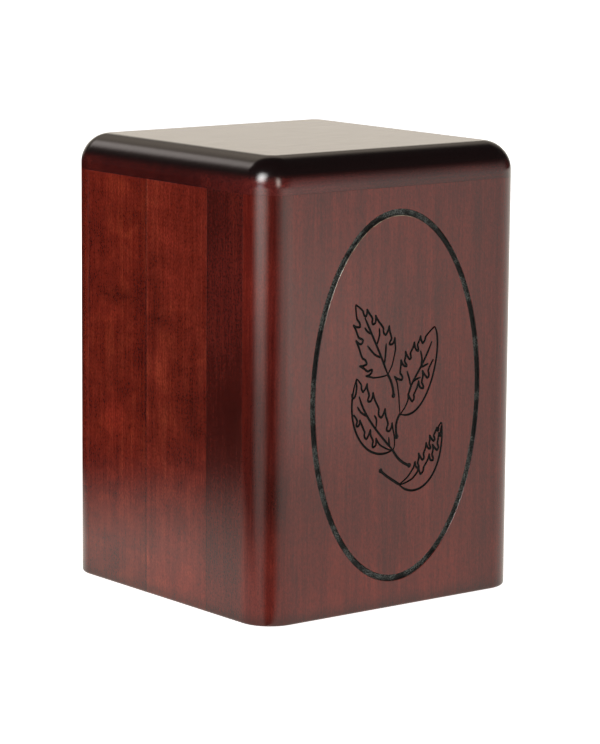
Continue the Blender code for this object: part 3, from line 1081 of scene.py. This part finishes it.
def front_face(shape, rim):
    """Fills the panel's front with one carved sheet that meets the rim's points."""
    verts = sorted({vert for edge in rim for vert in edge.verts}, key=lambda vert: vert.index)
    number = {vert: i for i, vert in enumerate(verts)}
    points = [Vector((vert.co.x, vert.co.z)) for vert in verts]
    edges = [(number[e.verts[0]], number[e.verts[1]]) for e in rim]
    lines = list(leaf_lines())
    shapes = [(outline, (), LINE_SLOT) for outline in line_polygons(lines)]
    shapes += oval_polygons()
    polygons = []
    known = {}
    for outline, corner_depths, slot in shapes:
        known.update(enumerate(corner_depths, len(points)))
        polygons.append(list(range(len(points), len(points) + len(outline))))
        points += outline

    flat = delaunay_2d_cdt(points, edges, polygons, 0, CDT_NEAR, True)
    places, triangles, origins, owners = flat[0], flat[2], flat[3], flat[5]
    for k, triangle in enumerate(triangles):
        middle = sum((places[i] for i in triangle), Vector((0, 0))) / len(triangle)
        owners[k] = [o for o in owners[k] if holds(shapes[o][0], middle)]
    plain = {i for triangle, owner in zip(triangles, owners) if not owner for i in triangle}
    depths = sheet_depths(places, origins, known, plain, lines)
    made = [shape.verts.new((x, depth - DEPTH / 2, z)) for (x, z), depth in zip(places, depths)]
    for triangle, owner in zip(triangles, owners):
        face = shape.faces.new([made[i] for i in triangle])
        face.material_index = max((shapes[o][2] for o in owner), default=WOOD_SLOT)
    bmesh.ops.remove_doubles(shape, verts=shape.verts, dist=SAME_PLACE)


def sharpen_borders(mesh):
    """Keeps a hard edge where two materials meet."""
    shape = bmesh.new()
    shape.from_mesh(mesh)
    for border in shape.edges:
        slots = {face.material_index for face in border.link_faces}
        if len(slots) > 1:
            border.smooth = False
    shape.to_mesh(mesh)
    shape.free()


def make_front_wall(wood, chars, cutters):
    front = add_object("front_wall", loft(rings_of(panel_outline, wall_levels(), FRONT)), wood)
    cut(front, cutters)
    shape = bmesh.new()
    shape.from_mesh(front.data)
    shape.verts.index_update()
    rim = front_opening(shape)
    front_face(shape, rim)
    bmesh.ops.recalc_face_normals(shape, faces=shape.faces)
    shape.to_mesh(front.data)
    shape.free()
    for char in chars:
        front.data.materials.append(char)
    smooth_round_edges(front)
    sharpen_borders(front.data)
    hand_over(front, "front_panel")


# Woods: three colours from dark to light, the grain's axis, a seed, and how much blotch, bands,
# streaks, curl and speckle there is
TOP_WOOD = Wood(
    (0.024, 0.0030, 0.0026),
    (0.040, 0.0044, 0.0036),
    (0.062, 0.0070, 0.0048),
    GRAIN_ACROSS, 1, 0.5, 0.5, 0.6, 0.0, 0.35,
)
FRONT_WOOD = Wood(
    (0.060, 0.0046, 0.0027),
    (0.088, 0.0066, 0.0035),
    (0.125, 0.0115, 0.0055),
    GRAIN_UP, 2, 0.5, 0.6, 0.7, 0.2, 0.35,
)
BACK_BOARD = Wood(
    (0.080, 0.0064, 0.0032),
    (0.121, 0.0104, 0.0048),
    (0.180, 0.0210, 0.0080),
    GRAIN_UP, 3, 0.6, 0.45, 0.6, 0.6, 0.46,
)
MIDDLE_BOARD = Wood(
    (0.080, 0.0072, 0.0035),
    (0.119, 0.0116, 0.0056),
    (0.172, 0.0225, 0.0092),
    GRAIN_UP, 4, 0.7, 0.5, 0.6, 0.5, 0.5,
)
FRONT_BOARD = Wood(
    (0.040, 0.0045, 0.0030),
    (0.060, 0.0062, 0.0042),
    (0.090, 0.0100, 0.0056),
    GRAIN_UP, 5, 0.5, 0.55, 0.6, 0.2, 0.5,
)
BASE_WOOD = Wood(
    (0.10, 0.035, 0.018),
    (0.19, 0.075, 0.04),
    (0.27, 0.12, 0.065),
    GRAIN_ACROSS, 9, 0.4, 0.9, 0.5, 0.1, 0.3,
)
BACK_WOOD = BACK_BOARD._replace(seed=6, curl=0.4)

# Places where the colour is made darker or lighter than around them, on the side first by y and z
SIDE_PATCHES = tuple(
    Patch((-WIDTH / 2, y, z), reach, change)
    for y, z, reach, change in (
        (-0.062, 0.096, (0.04, 0.045, 0.050), -0.40),
        (-0.060, 0.165, (0.04, 0.040, 0.030), 0.16),
        (-0.050, 0.000, (0.04, 0.060, 0.042), 0.50),
        (0.055, 0.000, (0.02, 0.035, 0.045), -0.14),
        (-0.010, 0.190, (0.02, 0.028, 0.060), 0.34),
        (-0.012, 0.008, (0.02, 0.038, 0.048), 0.40),
        (0.020, 0.115, (0.04, 0.110, 0.070), -0.16),
        (0.037, 0.150, (0.02, 0.028, 0.008), -0.26),
        (0.046, 0.139, (0.02, 0.018, 0.009), 0.18),
        (0.043, 0.087, (0.02, 0.016, 0.018), 0.40),
        (0.030, 0.190, (0.02, 0.030, 0.012), -0.14),
        (0.003, 0.118, (0.02, 0.014, 0.030), 0.24),
        (-0.024, 0.098, (0.02, 0.016, 0.030), -0.26),
        (0.002, 0.140, (0.02, 0.012, 0.016), -0.16),
        (-0.012, 0.160, (0.02, 0.016, 0.020), 0.10),
    )
)
FRONT_PATCHES = tuple(
    Patch(*row)
    for row in (
        ((-0.0825, -0.083, 0.098), (0.018, 0.04, 0.073), -0.55),
        ((-0.0825, -0.083, 0.058), (0.018, 0.04, 0.034), -0.22),
        ((-0.0730, -0.083, 0.062), (0.009, 0.008, 0.040), -0.36),
        ((-0.0740, -0.083, 0.200), (0.011, 0.010, 0.040), -0.36),
        ((-0.0825, -0.070, 0.010), (0.018, 0.014, 0.035), 0.30),
        ((-0.0820, -0.075, 0.160), (0.018, 0.04, 0.030), 0.10),
        ((0.070, -0.083, 0.200), (0.075, 0.04, 0.060), -0.24),
        ((0.075, -0.083, 0.100), (0.060, 0.04, 0.110), -0.12),
        ((-0.010, -0.083, 0.000), (0.120, 0.05, 0.040), 0.22),
        ((-0.050, -0.083, 0.120), (0.045, 0.04, 0.070), 0.16),
        ((-0.050, -0.083, 0.062), (0.040, 0.04, 0.030), -0.22),
    )
)
BACK_PATCHES = (Patch((-0.0825, 0.083, 0.115), (0.022, 0.03, 0.160), -0.27),)
TOP_PATCHES = (Patch((-0.070, -0.083, 0.213), (0.08, 0.07, 0.06), 1.0),)

# Each side board's wood, and the stain beside its glue line
BOARDS = {
    "front": (FRONT_BOARD, Joint(first_joint, 0.006, 0.86)),
    "middle": (MIDDLE_BOARD, Joint(second_joint, 0.006, 1.16)),
    "back": (BACK_BOARD, Joint(second_joint, 0.009, 0.80)),
}


def make_urn():
    top = stained_wood("stained_top_wood", TOP_WOOD, TOP_PATCHES, painted_rounding_shade=True)
    front = stained_wood("stained_front_wood", FRONT_WOOD, FRONT_PATCHES, painted_lip_highlight=True)
    back = stained_wood("stained_back_wood", BACK_WOOD, BACK_PATCHES)
    chars = (charred_groove(), charred_lines())
    boards = {
        place: stained_wood(f"stained_board_{place}", wood, SIDE_PATCHES, joint)
        for place, (wood, joint) in BOARDS.items()
    }
    base = plain_wood()
    steel = zinc_steel()

    seat = make_seat_cutter()
    holes = make_hole_cutters()
    bpy.context.view_layer.update()
    make_top_panel(top)
    make_front_wall(front, chars, [seat, holes[0], holes[1]])
    make_back_wall(back, [seat, holes[2], holes[3]])
    make_side_wall("left", LEFT, boards, seat)
    make_side_wall("right", RIGHT, boards, seat)
    make_base(base, holes)
    make_screws(steel)
    discard([seat, *holes])


# Studio. Directions are in degrees, and cards are as wide and high as they look from the box.
Card = namedtuple("Card", "name azimuth elevation half_width half_height strength tint softness")
CARD_DISTANCE = 2.0
CARD_TARGET = Vector((0.0, 0.0, 0.16))
CARDS = (
    Card("key", 194, 33, 19, 22, 19.0, (1.0, 1.0, 0.99), 0.45),
    Card("key_spill", 195, 2, 17, 16, 4.0, (1.0, 0.97, 1.0), 0.45),
    Card("strip", -109, 19, 9, 22, 9.0, (1.0, 0.92, 0.84), 0.45),
    Card("front_glow", -50, -9, 46, 39, 1.15, (1.0, 0.97, 0.92), 0.5),
    Card("backdrop", 54, 10.5, 40, 12, 1.15, (1.0, 0.91, 0.79), 0.3),
    Card("back_wall", 66, 36, 50, 19, 0.62, (1.0, 0.86, 0.72), 0.45),
    Card("side_card", 101, 36, 12, 12, 2.1, (1.0, 0.9, 0.85), 0.4),
)
LAMP_AZIMUTH = 194
LAMP_ELEVATION = 30
LAMP_DISTANCE = 1.6
LAMP_SIZE = 0.9
LAMP_POWER = 4.0
DOME_RADIUS = 9.0
DOME_SEGMENTS = (48, 24)
DOME_GLOW = 0.03
FLOOR_REACH = 6.3
FLOOR_WHITE = (0.9, 0.9, 0.9)
FLOOR_DROP = 0.0002
MIRROR_DROP = 0.0004
SKY_LOW = 0.95
SKY_HIGH = 0.3
SKY_RISE = 0.8
CLIP_START = 0.1
CLIP_END = 60.0

# Parts of the mirrored table, about the box's near corner, where each rises and falls
CORNER = (-0.077, -0.078, 0.0)
SECTOR_TURN = math.radians(75)
TABLE_TINT = (1.0, 0.99, 0.90)
FRONT_PART = ((-46, -10), (112, 140))
FRONT_LIGHT = 1.13
SPILL_PART = ((-32, -8), (8, 34))
SPILL_WAY = (0.45, 1.1)
SPILL_LIGHT = 0.65
SPOT_PART = ((-4, 8), (24, 31))
SPOT_WAY = ((0.36, 0.62), (1.1, 1.5))
SPOT_LIGHT = 0.6
KEY_PART = ((-122, -92), (-84, -58))
KEY_WAY = (0.7, 1.35)
KEY_LIGHT = (0.94, 3.3)
NEAR_WAY = (0.27, 0.07)
NEAR_LIGHT = 1.15
NEAR_FRONT = (-0.1, 0.15, 0.75, 1.0)  # from one y to another, and what it is multiplied by there
SHADED_PART = ((-84, -60), (112, 140))
SHADED_LIGHT = 0.15


def towards(azimuth, elevation):
    turn, rise = math.radians(azimuth), math.radians(elevation)
    return Vector(
        (math.cos(turn) * math.cos(rise), math.sin(turn) * math.cos(rise), math.sin(rise))
    )


def aim_at_box(made, azimuth, elevation, distance):
    """Puts an object this far from the box, and turns its face to it."""
    away = towards(azimuth, elevation)
    made.rotation_mode = "QUATERNION"
    made.rotation_quaternion = away.to_track_quat("Z", "Y")
    made.location = CARD_TARGET + away * distance


def make_camera():
    back = towards(CAMERA_AZIMUTH - 90, CAMERA_ELEVATION)
    level = towards(CAMERA_AZIMUTH, 0)
    upright = back.cross(level)
    roll = math.radians(CAMERA_ROLL)
    right = math.cos(roll) * level + math.sin(roll) * upright
    up = math.cos(roll) * upright - math.sin(roll) * level
    turn = Matrix((right, up, back)).transposed()
    lens = bpy.data.cameras.new("camera")
    lens.sensor_width = SENSOR
    lens.lens = CAMERA_LENS
    lens.clip_start = CLIP_START
    lens.clip_end = CLIP_END
    camera = bpy.data.objects.new("camera", lens)
    camera.matrix_world = Matrix.Translation(CAMERA_PLACE) @ turn.to_4x4()
    bpy.context.collection.objects.link(camera)
    bpy.context.scene.camera = camera


def only_mirrored(made):
    """Seen in the lacquer and nowhere else."""
    made.visible_camera = False
    made.visible_diffuse = False
    made.visible_transmission = False
    made.visible_volume_scatter = False
    made.visible_shadow = False
    made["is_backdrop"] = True


def glowing(name):
    """A material that only gives light, with its tree, its emission shader and its output."""
    made = bpy.data.materials.new(name)
    made.use_nodes = True
    tree = made.node_tree
    tree.nodes.clear()
    return made, tree, new_node(tree, "Emission"), new_node(tree, "OutputMaterial")


def soft_edge(share, softness):
    """1 in the middle of a card, falling to 0 at both its edges."""
    near = maths("MINIMUM", share, maths("SUBTRACT", 1.0, share))
    return ranged(near, 0.0, softness, smooth=True)


def sheet(name, finish, segments, size):
    shape = bmesh.new()
    bmesh.ops.create_grid(shape, x_segments=segments, y_segments=segments, size=size)
    return add_object(name, shape, finish)


def make_card(card):
    made, tree, lamp, output = glowing(f"glow_{card.name}")
    x, y, _ = parts_of(new_node(tree, "TexCoord").outputs["Generated"])
    edges = (soft_edge(x, card.softness), soft_edge(y, card.softness))
    mask = maths("MULTIPLY", *edges)
    feed_all(lamp, Color=colour(*card.tint), Strength=card.strength)
    clear = new_node(tree, "BsdfTransparent")
    blend = node("MixShader", mask, clear.outputs[0], lamp.outputs[0])
    tree.links.new(blend.outputs[0], output.inputs[0])
    plane = sheet(f"card_{card.name}", made, 1, 1.0)
    aim_at_box(plane, card.azimuth, card.elevation, CARD_DISTANCE)
    plane.scale = (
        CARD_DISTANCE * math.tan(math.radians(card.half_width)),
        CARD_DISTANCE * math.tan(math.radians(card.half_height)),
        1.0,
    )
    only_mirrored(plane)


def make_dome():
    """The dim room, as the lacquer mirrors it."""
    shape = bmesh.new()
    around, upwards = DOME_SEGMENTS
    bmesh.ops.create_uvsphere(shape, u_segments=around, v_segments=upwards, radius=DOME_RADIUS)
    made, tree, lamp, output = glowing("glow_room")
    feed_all(lamp, Strength=DOME_GLOW)
    tree.links.new(lamp.outputs[0], output.inputs[0])
    only_mirrored(add_object("room_dome", shape, made))


def window(value, rise, fall):
    """1 between a rising and a falling soft edge."""
    up = ranged(value, *rise, smooth=True)
    down = ranged(value, *fall, 1.0, 0.0, smooth=True)
    return maths("MULTIPLY", up, down)


def around_corner(where):
    """Direction in degrees and way from the box's near corner, for each place on the table."""
    shifted = vectors("SUBTRACT", where, CORNER)
    turned_about = node("Mapping", shifted)
    feed_all(turned_about, Rotation=(0, 0, SECTOR_TURN))
    x, y, _ = parts_of(turned_about.outputs[0])
    return maths("DEGREES", maths("ARCTAN2", y, x)), length_of(shifted)


def way_from_box(where):
    """Distance from the box's outline on the table."""
    half_box = (WIDTH / 2, DEPTH / 2, 0.0)
    outside = vectors("SUBTRACT", vectors("ABSOLUTE", where), half_box)
    return length_of(vectors("MAXIMUM", outside, (0.0, 0.0, 0.0)))


def table_light(where):
    """How bright the table looks in the lacquer: pale near the box and in front, dark to the left."""

    def times(*shares):
        return maths("MULTIPLY", *shares)

    direction, way = around_corner(where)
    front = times(window(direction, *FRONT_PART), FRONT_LIGHT)
    spill = ranged(way, *SPILL_WAY, 0.0, SPILL_LIGHT)
    spill = times(window(direction, *SPILL_PART), spill)
    spot = times(window(direction, *SPOT_PART), window(way, *SPOT_WAY), SPOT_LIGHT)
    key = times(window(direction, *KEY_PART), ranged(way, *KEY_WAY, *KEY_LIGHT))
    near = ranged(way_from_box(where), *NEAR_WAY, 0.0, NEAR_LIGHT)
    from_front = ranged(parts_of(where)[1], *NEAR_FRONT)
    shaded = ranged(window(direction, *SHADED_PART), 0.0, 1.0, 1.0, SHADED_LIGHT)
    total = maths("ADD", front, spill, spot)
    return maths("MAXIMUM", total, key, times(near, from_front, shaded))


def make_mirror_floor():
    """The table, as the lacquer mirrors it."""
    made, tree, lamp, output = glowing("glow_table")
    light = table_light(place_in_object(tree))
    feed_all(lamp, Color=colour(*TABLE_TINT), Strength=light)
    tree.links.new(lamp.outputs[0], output.inputs[0])
    floor = sheet("mirrored_table", made, 2, FLOOR_REACH)
    floor.location = (0, 0, -MIRROR_DROP)
    only_mirrored(floor)


def make_floor():
    made, tree, shader = new_material("floor_white")
    feed_all(shader, Base_Color=colour(*FLOOR_WHITE))
    feed_all(shader, Emission_Color=colour(1, 1, 1), Emission_Strength=1.0)
    floor = sheet("floor", made, 2, FLOOR_REACH)
    floor.location = (0, 0, -FLOOR_DROP)
    floor.visible_glossy = False
    floor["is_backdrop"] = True


def make_world():
    world = bpy.data.worlds.new("studio")
    bpy.context.scene.world = world
    world.use_nodes = True
    tree = world.node_tree
    rise = parts_of(new_node(tree, "TexCoord").outputs["Generated"])[2]
    light = ranged(rise, 0.0, SKY_RISE, SKY_LOW, SKY_HIGH, smooth=True)
    feed_all(tree.nodes["Background"], Strength=light, Color=colour(1, 1, 1))


def make_key_lamp():
    lamp = bpy.data.lights.new("key_lamp", "AREA")
    lamp.shape = "SQUARE"
    lamp.size = LAMP_SIZE
    lamp.energy = LAMP_POWER
    made = bpy.data.objects.new("key_lamp", lamp)
    aim_at_box(made, LAMP_AZIMUTH, LAMP_ELEVATION, LAMP_DISTANCE)
    made.visible_glossy = False
    made.visible_camera = False
    bpy.context.collection.objects.link(made)


def make_studio():
    make_floor()
    make_mirror_floor()
    make_dome()
    for card in CARDS:
        make_card(card)
    make_world()
    make_key_lamp()


def write_sizes():
    boxes = {"cad": cad_bounds, "shown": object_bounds()}
    lists = {name: [list(low), list(high)] for name, (low, high) in boxes.items()}


make_urn()
make_studio()
make_camera()
bpy.context.scene.view_settings.view_transform = "Standard"
write_sizes()
